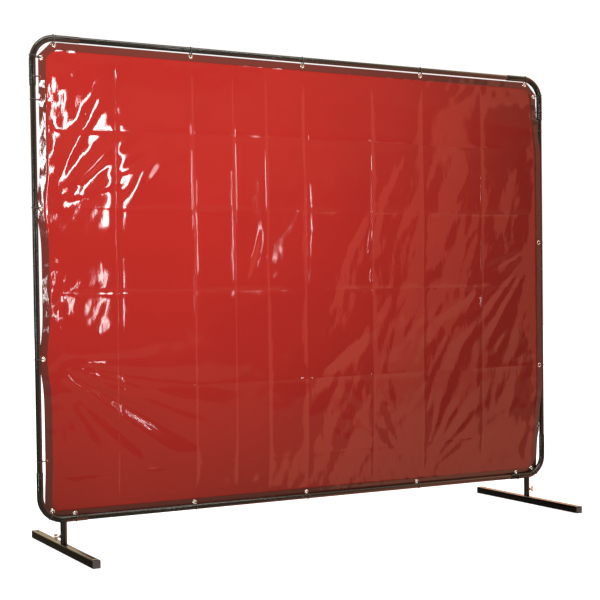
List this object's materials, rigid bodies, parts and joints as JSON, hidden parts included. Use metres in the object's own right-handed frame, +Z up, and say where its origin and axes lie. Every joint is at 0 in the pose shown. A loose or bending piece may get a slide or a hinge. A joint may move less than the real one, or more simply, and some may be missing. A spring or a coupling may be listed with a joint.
{
  "type": "welding curtain screen",
  "caption": "Free-standing tube frame on two swivelling T-feet, with a translucent PVC welding curtain tied inside it by its eyelets.",
  "frame": {"origin": "on the floor under the middle of the screen, midway between the feet and on the frame's plane", "axes": "+Z up, +X across the screen to the right seen from the front, +Y from front to back along the feet"},
  "size_m": [2.42, 0.73, 1.9594],
  "materials": {
    "black_paint": "satin black paint on steel",
    "zinc_plate": "bright zinc plate",
    "nickel_plate": "nickel plate",
    "black_plastic": "black nylon",
    "red_pvc": "glossy red soft PVC sheet"
  },
  "bodies": {
    "frame": {"elbow_top_left": "black_paint", "elbow_top_right": "black_paint", "elbow_bottom_left": "black_paint", "elbow_bottom_right": "black_paint", "upright_left": "black_paint", "upright_right": "black_paint", "rail_top": "black_paint", "rail_bottom": "black_paint", "post_left": "black_paint", "weld_nut_left": "black_paint", "post_right": "black_paint", "weld_nut_right": "black_paint", "curtain": "red_pvc", "eyelet_top_1": "nickel_plate", "eyelet_top_2": "nickel_plate", "eyelet_top_3": "nickel_plate", "eyelet_top_4": "nickel_plate", "eyelet_top_5": "nickel_plate", "eyelet_left_1": "nickel_plate", "eyelet_left_2": "nickel_plate", "eyelet_left_3": "nickel_plate", "eyelet_right_1": "nickel_plate", "eyelet_right_2": "nickel_plate", "eyelet_right_3": "nickel_plate", "eyelet_bottom_1": "nickel_plate", "eyelet_bottom_2": "nickel_plate", "eyelet_bottom_3": "nickel_plate", "eyelet_bottom_4": "nickel_plate", "eyelet_bottom_5": "nickel_plate", "eyelet_bottom_6": "nickel_plate", "eyelet_bottom_7": "nickel_plate", "cable_tie_top_1": "black_plastic", "cable_tie_top_2": "black_plastic", "cable_tie_top_3": "black_plastic", "cable_tie_top_4": "black_plastic", "cable_tie_top_5": "black_plastic", "cable_tie_left_1": "black_plastic", "cable_tie_left_2": "black_plastic", "cable_tie_left_3": "black_plastic", "cable_tie_right_1": "black_plastic", "cable_tie_right_2": "black_plastic", "cable_tie_right_3": "black_plastic", "cable_tie_bottom_1": "black_plastic", "cable_tie_bottom_2": "black_plastic", "cable_tie_bottom_3": "black_plastic", "cable_tie_bottom_4": "black_plastic", "cable_tie_bottom_5": "black_plastic", "cable_tie_bottom_6": "black_plastic", "cable_tie_bottom_7": "black_plastic"},
    "left_foot": {"foot_left": "black_paint", "stub_left": "black_paint", "foot_cap_left_front": "black_plastic", "foot_cap_left_rear": "black_plastic"},
    "left_wing_bolt": {"wing_bolt_left": "zinc_plate"},
    "right_foot": {"foot_right": "black_paint", "stub_right": "black_paint", "foot_cap_right_front": "black_plastic", "foot_cap_right_rear": "black_plastic"},
    "right_wing_bolt": {"wing_bolt_right": "zinc_plate"}
  },
  "joints": [
    {"name": "left_foot_swivel", "type": "hinge", "parent": "frame", "child": "left_foot", "pos_m": [-1.108, 0, 0.03], "axis": [0, 0, 1], "continuous": true},
    {"name": "left_wing_bolt_turn", "type": "hinge", "parent": "frame", "child": "left_wing_bolt", "pos_m": [-1.108, 0, 0.061], "axis": [-1, 0, 0], "range_deg": [0, 720]},
    {"name": "right_foot_swivel", "type": "hinge", "parent": "frame", "child": "right_foot", "pos_m": [1.108, 0, 0.03], "axis": [0, 0, 1], "continuous": true},
    {"name": "right_wing_bolt_turn", "type": "hinge", "parent": "frame", "child": "right_wing_bolt", "pos_m": [1.108, 0, 0.061], "axis": [1, 0, 0], "range_deg": [0, 720]}
  ]
}
